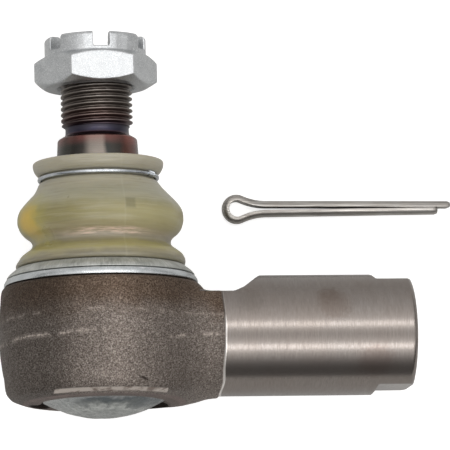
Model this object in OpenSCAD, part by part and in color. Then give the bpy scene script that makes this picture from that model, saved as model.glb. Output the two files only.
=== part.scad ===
// Tie rod end with a forged housing, a tapered ball stud, a dust boot,
// a slotted castle nut and its loose split pin.
//
// The part lies on its side. The origin is the centre of the ball.
// +X runs out along the shank, +Y up the stud to the nut, +Z up from the bench.
// Each module is drawn standing up, stud along Z, and lay_down() tips it over.
// Heights are measured along the stud from the ball's centre, in millimetres.

/* [Shown] */
// Which piece to draw, or "all"

/* [Housing] */
// Largest radius of the round barrel
barrel_r = 34.2; // [33.8:0.1:36]
// Radius of the barrel where its top shoulder starts
barrel_top_r = 33.2; // [33:0.1:33.6]
// Radius of the barrel at its lower edge
barrel_low_r = 32.3; // [31.8:0.1:32.8]
// Height of the top shoulder
shoulder_h = 16.8; // [16.6:0.1:17]
// Depth of the barrel's lower edge below the ball's centre
skirt_h = 18.4; // [18.2:0.1:18.6]
// Radius of the bore that holds the bearing shells
cavity_r = 21.5; // [21.4:0.1:21.9]

/* [Shank] */
// Radius of the shank
shank_r = 20.2; // [19.8:0.1:20.5]
// Distance from the ball's centre to the end of the shank
shank_len = 103.5; // [98:0.5:120]
// Width across the two wrench flats
flats_af = 35.6; // [35:0.1:39]
// Length of the wrench flats
flats_len = 12; // [10:0.5:20]
// Height of the flat relief beside the barrel
relief_h = 13.3; // [13:0.1:16]
// Wall radius of the internal thread, at its crests
thread_hole_r = 14.19; // [12.5:0.01:15]
// Depth of the internal thread from the shank's end
thread_hole_len = 52; // [40:1:54]

/* [Ball stud] */
// Radius of the ball
ball_r = 16; // [15.8:0.05:16]
// Radius of the neck under the taper
neck_r = 9.4; // [9:0.1:9.6]
// Radius at the large end of the taper
taper_r = 14.3; // [14:0.05:14.3]
// Height of the large end of the taper
taper_low_h = 50.4; // [49:0.1:51]
// Height of the small end of the taper
taper_top_h = 66.2; // [65.5:0.1:66.5]
// Radius of the undercut below the thread
undercut_r = 10.6; // [10:0.1:11]
// Major radius of the stud's thread
stud_thread_r = 12; // [11.9:0.01:12]
// Height of the stud's end face
stud_end_h = 94.8; // [94:0.1:95.2]
// Radius of the cross hole for the split pin
cross_hole_r = 2.8; // [2.6:0.05:2.9]

/* [Castle nut] */
// Height of the nut's underside
nut_h = 83.9; // [83.5:0.1:85]
// Width across the nut's flats
nut_af = 36; // [35:0.5:37]
// Height of the hexagon
hex_len = 10.5; // [10:0.1:11]
// Radius of the slotted collar
castle_r = 17; // [16.5:0.1:17.3]
// Height of the whole nut
nut_len = 16.8; // [16.4:0.1:17.4]
// Width of each slot
slot_w = 5.5; // [5.2:0.1:5.8]
// Depth of each slot
slot_len = 4.9; // [4.3:0.1:5]

/* [Bearing and closure] */
// Running clearance between sliding faces
run_gap = 0.05; // [0.03:0.01:0.08]
// Depth of the lower end of the bearing
bearing_low_h = 15.8; // [15.7:0.05:15.8]
// Radius of the closure plate's flange
flange_r = 24.4; // [24:0.1:24.5]
// Depth of the lowest point of the closure plate
dome_h = 27.2; // [26.5:0.1:27.5]

/* [Boot and rings] */
// Radius of the boot at its bulge
bulge_r = 28.1; // [27.5:0.1:28.5]
// Radius of the boot at its waist
waist_r = 23.7; // [23:0.1:24.2]
// Height of the boot's top lip
lip_h = 58.8; // [58.6:0.1:59.4]
// Wall thickness of the boot
boot_wall = 1.9; // [1.6:0.1:2.1]
// Thickness of the round wire of the lip ring
wire_d = 1.5; // [1.3:0.1:1.6]
// Height of the round wire ring
wire_h = 53.1; // [52.8:0.1:53.4]

/* [Split pin] */
// Diameter of the closed pair of legs
pin_d = 4.6; // [4.4:0.1:4.8]
// Inner radius of the eye
eye_r = 2.75; // [2.6:0.05:3]
// Position of the eye's centre beside the shank
pin_at = [51.3, 47.5];
// Length of the long leg from the eye's centre
long_leg = 74; // [66:1:84]
// Length of the short leg from the eye's centre
short_leg = 69.3; // [62:0.1:80]

/* [Hidden] */

$fn = 96;
steel = [0.62, 0.6, 0.57];
forged = [0.38, 0.34, 0.3];
zinc = [0.72, 0.76, 0.8];
plastic = [0.9, 0.89, 0.84];
urethane = [0.62, 0.6, 0.48];

// housing
spigot_r = 25.2;            // radius of the neck that holds the boot's bead
spigot_h = 23.4;            // top of that neck
groove_r = 24.5;            // bottom of the groove for the bead
mouth_low_h = 12.6;         // where the mouth meets the bearing's seat
mouth_low_r = 16.2;
mouth_top_r = 21.5;
seat_cone_h = 8.4;          // lower end of the conical seat
counterbore_r = flange_r + 0.2;
counterbore_h = 17.4;
flange_top_h = 18.3;
flange_low_h = 20.5;
crimp_low_h = 22.3;         // underside of the folded rim
crimp_in_r = 20.4;
relief_x = 42.9;            // where the relief starts to rise
relief_ramp = [[3.3, 1.6], [5.8, 3.5], [11.8, 8.2]]; // ramp back up to the shank
flats_start_x = shank_len - flats_len;
bench_z = -barrel_r;

// bearing
shell_r = cavity_r - run_gap;
socket_r = ball_r + run_gap;
shell_mouth_r = 13.9;       // where the ball leaves the upper shell
shell_top_h = 12.3;
shell_top_in_r = 15.9;
shell_top_out_r = 17.3;
shell_split = 0.4;          // half the gap between the two shells
shell_open_r = 9.3;         // hole under the ball
ball_flat_h = 13.8;         // flat under the ball

// spring stack
seat_top_h = bearing_low_h + 0.1;
seat_low_h = 17.4;
seat_r = 21.2;
spring_in_r = 8;
spring_out_r = 16.6;
spring_drop = 1.7;          // how far the spring's rim is below its middle
spring_wall = 1.5;

// closure plate
dome_r = 20.2;
dome_edge_h = 21.6;
plate_wall = 2.4;
dome_sphere_r = (dome_r * dome_r + pow(dome_h - dome_edge_h, 2)) / (2 * (dome_h - dome_edge_h));
dish_r = dome_r - 2.2;

// rings on the boot's bead
ring_low_h = shoulder_h + 0.2;
ring_low_r = 32.4;
ring_mid_h = 19.6;          // where the two rings meet
ring_mid_r = 31.6;
ring_in_r = 27.1;
band_top_h = 23;
band_r = 28.5;
wire_r = 20.35 - wire_d / 2;
groove_in_r = wire_r - wire_d / 2 - 0.08;

// split pin
pin_turn = 0.15;              // slight turn away from the shank's direction
pin_join_x = 10.4;          // where the legs run straight
leg_gap = 0.5;              // half the gap between the legs there
// radius of the bend that touches both the eye and the leg
bend_r = (pow(pin_join_x, 2) + leg_gap * leg_gap - eye_r * eye_r) / (2 * (eye_r - leg_gap));
eye_open_a = acos(pin_join_x / (eye_r + bend_r)); // half the opening of the eye
leg_a = asin(leg_gap / (short_leg - pin_join_x)); // slope that closes the legs
joint_a = 0.05;             // turn of the bend that each wire joint covers

// castle nut
nut_bore_r = stud_thread_r + run_gap;
nut_corner_r = nut_af / sqrt(3);
nut_chamfer_r = nut_af / 2 - 0.8;
castle_chamfer = 0.8;
nut_sink = 1.2;             // depth of the countersink at each end of the bore

// Points on an arc, from angle a0 to a1, about centre c
function arc(c, r, a0, a1, n) =
    [for (i = [0:n]) let (a = a0 + (a1 - a0) * i / n) [c[0] + r * cos(a), c[1] + r * sin(a)]];

// Height where a sphere about the origin has radius x
function on_sphere(r, x) = sqrt(r * r - x * x);

// Tips a piece that is drawn standing up onto its side
module lay_down() {
    rotate([-90, 0, 0]) children();
}

// Turns a closed outline of [radius, height] points about the stud's axis
module turned(outline) {
    lay_down() rotate_extrude() polygon(outline);
}

// ---------- housing ----------

barrel_outline = concat(
    [[0, -crimp_low_h], [23.4, -crimp_low_h]],
    [[27, -21.9], [30.9, -20.4], [31.8, -skirt_h - 0.8], [barrel_low_r, -skirt_h]],
    [[barrel_r - 0.9, -12], [barrel_r - 0.3, -7], [barrel_r, -2], [barrel_r, 4],
     [barrel_r - 0.35, 10], [barrel_top_r, shoulder_h - 0.9],
     [barrel_top_r - 0.9, shoulder_h], [groove_r, shoulder_h],
     [groove_r, 20.6], [spigot_r, 21.4], [spigot_r, spigot_h - 0.8],
     [spigot_r - 0.8, spigot_h], [0, spigot_h]]);

cavity_outline = [
    [0, mouth_low_h], [mouth_low_r, mouth_low_h],
    [shell_top_out_r + 0.25, mouth_low_h], [cavity_r, seat_cone_h],
    [cavity_r, -counterbore_h], [counterbore_r, -counterbore_h],
    [counterbore_r, -flange_low_h - 0.1], [crimp_in_r, -flange_low_h - 0.1],
    [crimp_in_r, -crimp_low_h + 0.7], [crimp_in_r + 1.2, -crimp_low_h],
    [crimp_in_r + 1.2, -crimp_low_h - 1], [0, -crimp_low_h - 1]];

module mouth_cut() {
    translate([0, 0, mouth_low_h - 0.01])
        cylinder(h = spigot_h - mouth_low_h + 0.02, r1 = mouth_low_r, r2 = mouth_top_r);
}

// The forging swells out from the shank to meet the barrel
module neck() {
    hull() {
        translate([15, 0, -1]) scale([1, 1, 0.62]) sphere(r = 27, $fn = 48);
        translate([41, 0, 0]) rotate([0, 90, 0]) cylinder(h = 2, r = shank_r);
    }
}

module shank() {
    rotate([0, 90, 0]) cylinder(h = flats_start_x, r = shank_r);
    translate([flats_start_x, 0, 0]) intersection() {
        rotate([0, 90, 0]) union() {
            cylinder(h = flats_len - 1.2, r = shank_r);
            translate([0, 0, flats_len - 1.2])
                cylinder(h = 1.2, r1 = shank_r, r2 = shank_r - 1.2);
        }
        translate([-1, -30, -flats_af / 2]) cube([flats_len + 2, 60, flats_af]);
    }
}

// Flat cut on the nut's side of the neck, with a ramp back up to the shank
module relief_cut() {
    translate([0, 30, 0]) rotate([90, 0, 0]) linear_extrude(60)
        polygon(concat(
            [[0, relief_h], [relief_x, relief_h]],
            [for (p = relief_ramp) [relief_x + p[0], relief_h + p[1]]],
            [[relief_x + 12, 30], [0, 30]]));
}

module thread_hole() {
    translate([shank_len - thread_hole_len, 0, 0]) rotate([0, 90, 0]) {
        cylinder(h = thread_hole_len + 1, r = thread_hole_r);
        translate([0, 0, -6]) cylinder(h = 6.01, r1 = 1, r2 = thread_hole_r - 0.3);
        translate([0, 0, thread_hole_len - 1.2])
            cylinder(h = 1.3, r1 = thread_hole_r, r2 = thread_hole_r + 1.4);
    }
}

module housing() {
    color(forged) lay_down() difference() {
        union() {
            rotate_extrude() polygon(barrel_outline);
            difference() {
                union() { neck(); shank(); }
                relief_cut();
            }
        }
        rotate_extrude() polygon(cavity_outline);
        mouth_cut();
        thread_hole();
    }
}

// ---------- bearing ----------

module upper_bearing_shell() {
    a0 = asin(shell_split / socket_r);
    a1 = acos(shell_mouth_r / socket_r);
    color(plastic) turned(concat(
        arc([0, 0], socket_r, a0, a1, 8),
        [[shell_top_in_r, shell_top_h], [shell_top_out_r, shell_top_h],
         [shell_r, seat_cone_h - 0.25], [shell_r, shell_split]]));
}

module lower_bearing_shell() {
    a0 = -asin(shell_split / socket_r);
    a1 = -acos(shell_open_r / socket_r);
    color(plastic) turned(concat(
        arc([0, 0], socket_r, a1, a0, 10),
        [[shell_r, -shell_split], [shell_r, -bearing_low_h + 2.2],
         [shell_r - 1.6, -bearing_low_h], [shell_open_r, -bearing_low_h]]));
}

module ball_stud() {
    ball_low_a = -asin(ball_flat_h / ball_r);
    ball_top_a = acos(10.2 / ball_r);
    color(steel) difference() {
        turned(concat(
            [[0, -ball_flat_h]],
            arc([0, 0], ball_r, ball_low_a, ball_top_a, 22),
            [[neck_r + 0.15, on_sphere(ball_r, 10.2) + 0.9], [neck_r, 14.6],
             [neck_r, 27]],
            arc([neck_r + 14, 27], 14, 180, 131, 6),
            [[taper_r, 41], [taper_r, taper_low_h],
             [taper_r - (taper_top_h - taper_low_h) / 16, taper_top_h],
             [undercut_r + 1.2, taper_top_h + 0.9], [undercut_r + 0.3, taper_top_h + 1.4],
             [undercut_r, taper_top_h + 2],
             [undercut_r, taper_top_h + 3.7], [stud_thread_r, taper_top_h + 5],
             [stud_thread_r, stud_end_h - 1.6], [stud_thread_r - 1.6, stud_end_h],
             [0, stud_end_h]]));
        lay_down() translate([0, 0, stud_end_h - 4.8]) rotate([90, 0, 0])
            cylinder(h = 40, r = cross_hole_r, center = true, $fn = 32);
    }
}

// ---------- spring and closure ----------

module spring_seat() {
    color(steel) turned([
        [3, -seat_top_h], [seat_r, -seat_top_h], [seat_r, -seat_low_h], [3, -seat_low_h]]);
}

module preload_spring() {
    color(steel) turned([
        [spring_in_r, -seat_low_h - 0.1], [spring_out_r, -seat_low_h - spring_drop],
        [spring_out_r, -seat_low_h - spring_drop - spring_wall],
        [spring_in_r, -seat_low_h - 0.1 - spring_wall]]);
}

module closure_seal() {
    color([0.12, 0.12, 0.12]) turned([
        [cavity_r + 0.8, -counterbore_h - 0.05], [counterbore_r - 0.1, -counterbore_h - 0.05],
        [counterbore_r - 0.1, -flange_top_h + 0.05], [cavity_r + 0.8, -flange_top_h + 0.05]]);
}

module closure_plate() {
    half = asin(dome_r / dome_sphere_r);
    inner_r = dome_sphere_r - plate_wall;
    inner_half = asin((dish_r - 0.2) / inner_r);
    centre_h = dome_sphere_r - dome_h;
    color(zinc) turned(concat(
        [[flange_r, -flange_low_h], [flange_r, -flange_top_h],
         [dish_r + 0.6, -flange_top_h], [dish_r, -flange_top_h - 0.6]],
        arc([0, centre_h], inner_r, -90 + inner_half, -90, 8),
        arc([0, centre_h], dome_sphere_r, -90, -90 + half, 10),
        [[dome_r + 0.1, -flange_low_h]]));
}

// ---------- boot and its rings ----------

// Outer line of the boot, from the bead up to the lip
boot_outer = [
    [26.8, ring_low_h + 0.4], [26.8, band_top_h + 0.1], [28.1, band_top_h + 0.4],
    [28.4, 24.4], [28.1, 25.8], [27.2, 27.3], [25.8, 28.5], [24.5, 29.5],
    [waist_r, 30.8], [waist_r + 0.3, 32.4], [25, 33.4], [26.2, 34.3], [27.3, 35.8],
    [bulge_r, 38.2], [bulge_r - 0.1, 40.8], [27.3, 42.7], [26, 44.4], [24.5, 46],
    [22.8, 47.7], [21.2, 49.5], [20.2, 51], [19.6, 51.9], [groove_in_r, wire_h - 0.8],
    [groove_in_r, wire_h + 0.8], [20.3, 54.4], [21, 55.2], [21.6, 56.3], [21.9, 57.6],
    [21.8, lip_h - 0.4], [21.3, lip_h]];

// Inner line, from the lip back down to the bead
boot_inner = [
    [15.6, lip_h], [14.7, lip_h - 0.9], [14.7, 56.6], [15.4, 55.4], [15.4, 53.6],
    [15, 51.8], [16.6, 50], [19.4, 48.2], [22, 46], [24.2, 43.8],
    [bulge_r - boot_wall, 40.6], [bulge_r - boot_wall, 38.6], [25, 36.6],
    [23.6, 35.1], [22.3, 34], [waist_r - boot_wall, 32.6], [waist_r - boot_wall, 30.4],
    [22.8, 28.6], [24.6, 27.2], [25.8, 25.2], [25.8, band_top_h],
    [25.5, 22], [25.5, 21.2], [24.8, 20.5], [24.8, ring_low_h + 0.4]];

module dust_boot() {
    color(urethane) turned(concat(boot_outer, boot_inner));
}

module boot_bead_band() {
    color(steel) turned([
        [ring_in_r, ring_mid_h + 0.15], [ring_mid_r - 0.4, ring_mid_h + 0.15],
        [ring_mid_r - 0.2, ring_mid_h + 0.4], [band_r, band_top_h - 0.3],
        [band_r - 0.4, band_top_h], [ring_in_r, band_top_h]]);
}

module boot_retaining_ring() {
    color(zinc) turned([
        [ring_in_r, ring_mid_h], [ring_in_r, ring_low_h], [ring_low_r - 0.3, ring_low_h],
        [ring_low_r, ring_low_h + 0.4], [ring_mid_r + 0.1, ring_mid_h - 0.4],
        [ring_mid_r - 0.4, ring_mid_h]]);
}

module boot_wire_ring() {
    color(zinc) lay_down() translate([0, 0, wire_h]) rotate_extrude()
        translate([wire_r, 0]) circle(r = wire_d / 2, $fn = 20);
}

// ---------- castle nut ----------

// Outline that rounds off the corners of the hexagon at both ends
hex_chamfer = [
    [0, 0], [nut_chamfer_r, 0],
    [nut_corner_r + 0.2, (nut_corner_r + 0.2 - nut_chamfer_r) * tan(30)],
    [nut_corner_r + 0.2, hex_len - (nut_corner_r + 0.2 - nut_chamfer_r) * tan(30)],
    [nut_chamfer_r, hex_len], [0, hex_len]];

module castle_nut() {
    color(zinc) lay_down() translate([0, 0, nut_h]) difference() {
        union() {
            intersection() {
                cylinder(h = hex_len + 0.01, r = nut_corner_r, $fn = 6);
                rotate_extrude() polygon(hex_chamfer);
            }
            cylinder(h = nut_len - castle_chamfer, r = castle_r);
            translate([0, 0, nut_len - castle_chamfer - 0.01])
                cylinder(h = castle_chamfer + 0.01, r1 = castle_r, r2 = castle_r - castle_chamfer);
        }
        translate([0, 0, -1]) cylinder(h = nut_len + 2, r = nut_bore_r);
        translate([0, 0, -0.01])
            cylinder(h = nut_sink, r1 = nut_bore_r + nut_sink, r2 = nut_bore_r);
        translate([0, 0, nut_len - nut_sink + 0.01])
            cylinder(h = nut_sink, r1 = nut_bore_r, r2 = nut_bore_r + nut_sink);
        for (a = [30, 90, 150]) rotate([0, 0, a])
            translate([-30, -slot_w / 2, nut_len - slot_len]) cube([60, slot_w, slot_len + 1]);
    }
}

// ---------- split pin ----------

// Section of the half-round wire, its flat side at x = 0
module wire_section(grow = 0) {
    intersection() {
        circle(r = pin_d / 2 + grow, $fn = 32);
        translate([-grow, -pin_d]) square([2 * pin_d, 2 * pin_d]);
    }
}

// Moves to the start of a leg, with the wire's run along -Y
module at_leg() {
    translate([pin_join_x - bend_r * sin(leg_a), leg_gap + bend_r * (1 - cos(leg_a)), 0])
        rotate([90, 0, 90 - leg_a]) children();
}

// Moves to the end of the eye
module at_eye_end() {
    rotate([0, 0, eye_open_a]) translate([eye_r, 0, 0]) rotate([90, 0, 0]) children();
}

// Thin collar that joins two runs of the wire
module wire_joint() {
    linear_extrude(0.3, center = true) wire_section(0.02);
}

// Half the wire, from the eye's end out to a leg's tip
module half_pin(length) {
    at_leg() linear_extrude(length - pin_join_x) wire_section();
    at_leg() wire_joint();
    at_eye_end() wire_joint();
    translate([pin_join_x, leg_gap + bend_r, 0])
        rotate([0, 0, 180 + eye_open_a + joint_a])
            rotate_extrude(angle = 90 - eye_open_a - leg_a - 2 * joint_a, $fn = 180)
                translate([bend_r, 0]) mirror([1, 0]) wire_section();
}

module cotter_pin() {
    color(steel) translate([pin_at[0], pin_at[1], bench_z + pin_d / 2]) rotate([0, 0, pin_turn]) {
        half_pin(long_leg);
        mirror([0, 1, 0]) half_pin(short_leg);
        rotate([0, 0, eye_open_a]) rotate_extrude(angle = 360 - 2 * eye_open_a, $fn = 64)
            translate([eye_r, 0]) wire_section();
    }
}

housing();
upper_bearing_shell();
lower_bearing_shell();
ball_stud();
spring_seat();
preload_spring();
closure_seal();
closure_plate();
dust_boot();
boot_bead_band();
boot_retaining_ring();
boot_wire_ring();
castle_nut();
cotter_pin();
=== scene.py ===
"""Visual model of the tie rod end: forged housing, ball stud, boot, nut and split pin."""

import math

import bmesh
import bpy
import numpy as np
from mathutils import Euler, Matrix, Vector


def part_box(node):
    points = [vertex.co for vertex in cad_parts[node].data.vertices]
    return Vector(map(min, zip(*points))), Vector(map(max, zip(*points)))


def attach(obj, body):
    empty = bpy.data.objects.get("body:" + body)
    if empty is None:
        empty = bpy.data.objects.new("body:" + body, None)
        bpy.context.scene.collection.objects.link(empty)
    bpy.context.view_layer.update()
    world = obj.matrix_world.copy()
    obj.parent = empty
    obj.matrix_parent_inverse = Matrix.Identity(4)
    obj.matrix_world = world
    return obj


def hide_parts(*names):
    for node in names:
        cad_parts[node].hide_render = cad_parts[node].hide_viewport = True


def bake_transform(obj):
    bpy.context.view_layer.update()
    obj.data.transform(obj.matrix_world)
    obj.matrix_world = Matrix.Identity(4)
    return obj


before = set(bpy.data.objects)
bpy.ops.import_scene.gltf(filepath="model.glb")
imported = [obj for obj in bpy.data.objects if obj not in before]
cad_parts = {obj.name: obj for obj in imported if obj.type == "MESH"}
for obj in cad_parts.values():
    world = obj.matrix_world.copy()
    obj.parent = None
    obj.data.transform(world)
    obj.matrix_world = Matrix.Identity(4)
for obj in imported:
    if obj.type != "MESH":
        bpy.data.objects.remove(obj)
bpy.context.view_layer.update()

MM = 0.001


# ---------- places that come from the frame, in millimetres ----------

def box_mm(node):
    """Lowest and highest corner of a CAD node."""
    low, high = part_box(node)
    return np.array(low) / MM, np.array(high) / MM


HOUSING_LOW, HOUSING_HIGH = box_mm("housing")
NUT_LOW, NUT_HIGH = box_mm("castle_nut")
WIRE_LOW, WIRE_HIGH = box_mm("boot_wire_ring")

BARREL_R = -HOUSING_LOW[2]
SHANK_END = HOUSING_HIGH[0]
RIM_H = HOUSING_LOW[1]
SPIGOT_H = HOUSING_HIGH[1]
PIN_REST_Z = box_mm("cotter_pin")[0][2]
BENCH_Z = min(HOUSING_LOW[2], PIN_REST_Z)
STUD_TOP = box_mm("ball_stud")[1][1]
NUT_H = NUT_LOW[1]
NUT_TOP = NUT_HIGH[1]
WIRE_H = (WIRE_LOW[1] + WIRE_HIGH[1]) / 2
WIRE_D = WIRE_HIGH[1] - WIRE_LOW[1]
WIRE_R = WIRE_HIGH[0] - WIRE_D / 2


# ---------- mesh making ----------

def make_piece(name, points, faces, body, slot, *nodes, sharp=None):
    """A smooth mesh object, from points in millimetres, that rides on a body."""
    mesh = bpy.data.meshes.new(name)
    mesh.from_pydata((np.asarray(points) * MM).tolist(), [], np.asarray(faces).tolist()
                     if isinstance(faces, np.ndarray) else faces)
    mesh.polygons.foreach_set("use_smooth", [True] * len(mesh.polygons))
    mesh.update()
    obj = bpy.data.objects.new(name, mesh)
    bpy.context.scene.collection.objects.link(obj)
    if sharp is not None:
        mesh.set_sharp_from_angle(angle=math.radians(sharp))
    if body:
        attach(obj, body)
    if nodes:
        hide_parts(*nodes)
    return obj


def clean(obj):
    """Welds doubled points, drops empty faces and turns every face outwards."""
    work = bmesh.new()
    work.from_mesh(obj.data)
    bmesh.ops.remove_doubles(work, verts=work.verts, dist=2e-6)
    bmesh.ops.dissolve_degenerate(work, edges=work.edges, dist=1e-7)
    bmesh.ops.recalc_face_normals(work, faces=work.faces)
    work.to_mesh(obj.data)
    work.free()
    return obj


def eased(outline, reach, steps=4):
    """A closed outline with each corner rounded over at most reach on each side."""
    points = np.asarray(outline, float)
    out = []
    for i, corner in enumerate(points):
        before, after = points[i - 1], points[(i + 1) % len(points)]
        sides = []
        for other in (before, after):
            side = other - corner
            length = math.hypot(*side)
            sides.append(corner + side * min(reach, 0.49 * length) / max(length, 1e-9))
        for k in range(steps + 1):
            t = k / steps
            out.append((1 - t) ** 2 * sides[0] + 2 * t * (1 - t) * corner + t * t * sides[1])
    return np.array(out)


def grid_faces(rows, columns, close_rows):
    """Quads over a grid of points whose columns run round in a ring."""
    i = np.arange(rows if close_rows else rows - 1)
    j = np.arange(columns)
    i, j = (a.ravel() for a in np.meshgrid(i, j, indexing="ij"))
    up, right = (i + 1) % rows, (j + 1) % columns
    return np.stack([i * columns + j, i * columns + right,
                     up * columns + right, up * columns + j], axis=1)


def turned(outline, steps=256):
    """Points and quads of a closed outline of (radius, height) turned about the stud."""
    outline = np.asarray(outline, float)
    angle = np.linspace(0, 2 * math.pi, steps, endpoint=False)
    radius = outline[:, :1]
    points = np.stack([radius * np.cos(angle), np.repeat(outline[:, 1:], steps, axis=1),
                       radius * np.sin(angle)], axis=2).reshape(-1, 3)
    return points, grid_faces(len(outline), steps, True)


def waves(points, size, seed):
    """Smooth swells of about the given size, between -1 and 1, at each point."""
    rng = np.random.default_rng(seed)
    total = np.zeros(len(points))
    for _ in range(14):
        direction = rng.normal(size=3)
        direction /= np.linalg.norm(direction)
        turns = 2 * math.pi / (size * rng.uniform(0.7, 1.6))
        total += np.sin(points @ direction * turns + rng.uniform(0, 2 * math.pi))
    return total / 14 ** 0.5 / 1.4


def skin(distance, low, high, cell, block=4):
    """Closed quad mesh of the surface where distance(points) is zero."""
    low = np.array(low, float)
    count = np.ceil((np.array(high) - low) / (cell * block)).astype(int)
    size = cell * block
    centres = np.stack(np.meshgrid(
        *[low[i] + (np.arange(count[i]) + 0.5) * size for i in range(3)],
        indexing="ij"), axis=-1)
    rough = distance(centres.reshape(-1, 3)).reshape(count)
    near = np.abs(rough) < size * 1.1
    shape = tuple(count * block)
    spread = [np.repeat(np.repeat(np.repeat(a, block, 0), block, 1), block, 2)
              for a in (near, rough)]
    value = np.full(tuple(s + 1 for s in shape), size, np.float32)
    value[:-1, :-1, :-1] = spread[1]
    wanted = np.zeros(value.shape, bool)
    for dx in (0, 1):
        for dy in (0, 1):
            for dz in (0, 1):
                wanted[dx:dx + shape[0], dy:dy + shape[1], dz:dz + shape[2]] |= spread[0]
    nodes = np.argwhere(wanted)
    value[wanted] = distance(low + nodes * cell)

    inside = value < 0
    corners = [(a, b, c) for a in (0, 1) for b in (0, 1) for c in (0, 1)]
    total = np.zeros(shape, np.int8)
    for a, b, c in corners:
        total += inside[a:a + shape[0], b:b + shape[1], c:c + shape[2]]
    active = (total > 0) & (total < 8)
    number = np.full(shape, -1, np.int64)
    cells = np.argwhere(active)
    number[active] = np.arange(len(cells))
    at = {k: value[cells[:, 0] + k[0], cells[:, 1] + k[1], cells[:, 2] + k[2]]
          for k in corners}
    place = np.zeros((len(cells), 3))
    hits = np.zeros(len(cells))
    for a in corners:
        for axis in range(3):
            if a[axis]:
                continue
            b = tuple(1 if i == axis else a[i] for i in range(3))
            cross = (at[a] < 0) != (at[b] < 0)
            t = np.where(cross, at[a] / np.where(cross, at[a] - at[b], 1), 0)
            step = np.zeros((len(cells), 3))
            step[:, axis] = t
            place += np.where(cross[:, None], np.array(a) + step, 0)
            hits += cross
    points = low + (cells + place / hits[:, None]) * cell

    faces = []
    for axis in range(3):
        u, v = (axis + 1) % 3, (axis + 2) % 3
        first = [slice(1, -1)] * 3
        second = [slice(1, -1)] * 3
        first[axis], second[axis] = slice(0, -1), slice(1, None)
        flip = inside[tuple(first)] != inside[tuple(second)]
        index = np.argwhere(flip)
        out = inside[tuple(first)][flip]
        ring = []
        for du, dv in ((0, 0), (1, 0), (1, 1), (0, 1)):
            cell_at = index.copy()
            cell_at[:, u] += du
            cell_at[:, v] += dv
            ring.append(number[cell_at[:, 0], cell_at[:, 1], cell_at[:, 2]])
        quads = np.stack(ring, axis=1)
        quads[~out] = quads[~out][:, ::-1]
        faces.append(quads)
    faces = np.concatenate(faces)

    def settle(p):
        for _ in range(2):
            slope = np.zeros_like(p)
            for axis in range(3):
                nudge = np.zeros(3)
                nudge[axis] = cell * 0.1
                slope[:, axis] = (distance(p + nudge) - distance(p - nudge)) / (cell * 0.2)
            square = np.maximum((slope ** 2).sum(1), 0.2)
            move = np.clip(distance(p) / square, -cell, cell)
            p = p - move[:, None] * slope
        return p

    points = settle(points)
    for _ in range(2):
        mean = np.zeros_like(points)
        links = np.zeros(len(points))
        for k in range(4):
            a, b = faces[:, k], faces[:, (k + 1) % 4]
            for axis in range(3):
                mean[:, axis] += np.bincount(a, points[b, axis], len(points))
            links += np.bincount(a, minlength=len(points))
        points = settle(0.4 * points + 0.6 * mean / np.maximum(links, 1)[:, None])
    return points, faces


class OutlineTable:
    """Signed distance from a closed outline of (radius, height), looked up by point."""

    def __init__(self, outline, step=0.12, reach=50.0):
        self.step = step
        self.low = np.array([-1.0, -reach])
        radius = np.arange(-1.0, reach, step)
        height = np.arange(-reach, reach, step)
        r, h = np.meshgrid(radius, height, indexing="ij")
        outline = np.asarray(outline, float)
        nearest = np.full(r.shape, np.inf)
        inside = np.zeros(r.shape, bool)
        for a, b in zip(outline, np.roll(outline, -1, axis=0)):
            edge = b - a
            length = max(float(edge @ edge), 1e-12)
            t = np.clip(((r - a[0]) * edge[0] + (h - a[1]) * edge[1]) / length, 0, 1)
            nearest = np.minimum(nearest, np.hypot(r - a[0] - t * edge[0],
                                                   h - a[1] - t * edge[1]))
            spans = (a[1] > h) != (b[1] > h)
            if a[1] != b[1]:
                inside ^= spans & (r < (b[0] - a[0]) * (h - a[1]) / (b[1] - a[1]) + a[0])
        self.table = np.where(inside, -nearest, nearest)

    def __call__(self, radius, height):
        u = (radius - self.low[0]) / self.step
        v = (height - self.low[1]) / self.step
        u = np.clip(u, 0, self.table.shape[0] - 1.001)
        v = np.clip(v, 0, self.table.shape[1] - 1.001)
        i, j = u.astype(int), v.astype(int)
        s, t = u - i, v - j
        table = self.table
        return ((1 - s) * ((1 - t) * table[i, j] + t * table[i, j + 1])
                + s * ((1 - t) * table[i + 1, j] + t * table[i + 1, j + 1]))


def joined(a, b, ease):
    """Union of two distances, with a fillet."""
    t = np.clip(0.5 + 0.5 * (b - a) / ease, 0, 1)
    return b * (1 - t) + a * t - ease * t * (1 - t)


def kept(a, b, ease):
    """What two distances share, with its edge rounded."""
    return -joined(-a, -b, ease)


def cut(a, tool, ease):
    """The first distance with the tool taken out, its edge rounded."""
    return kept(a, -tool, ease)


# ---------- material making ----------

def paint(red, green, blue):
    """A screen colour from 0 to 255 as a linear one."""
    out = []
    for c in (red, green, blue):
        c /= 255
        out.append(c / 12.92 if c <= 0.04045 else ((c + 0.055) / 1.055) ** 2.4)
    return (*out, 1.0)


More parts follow.
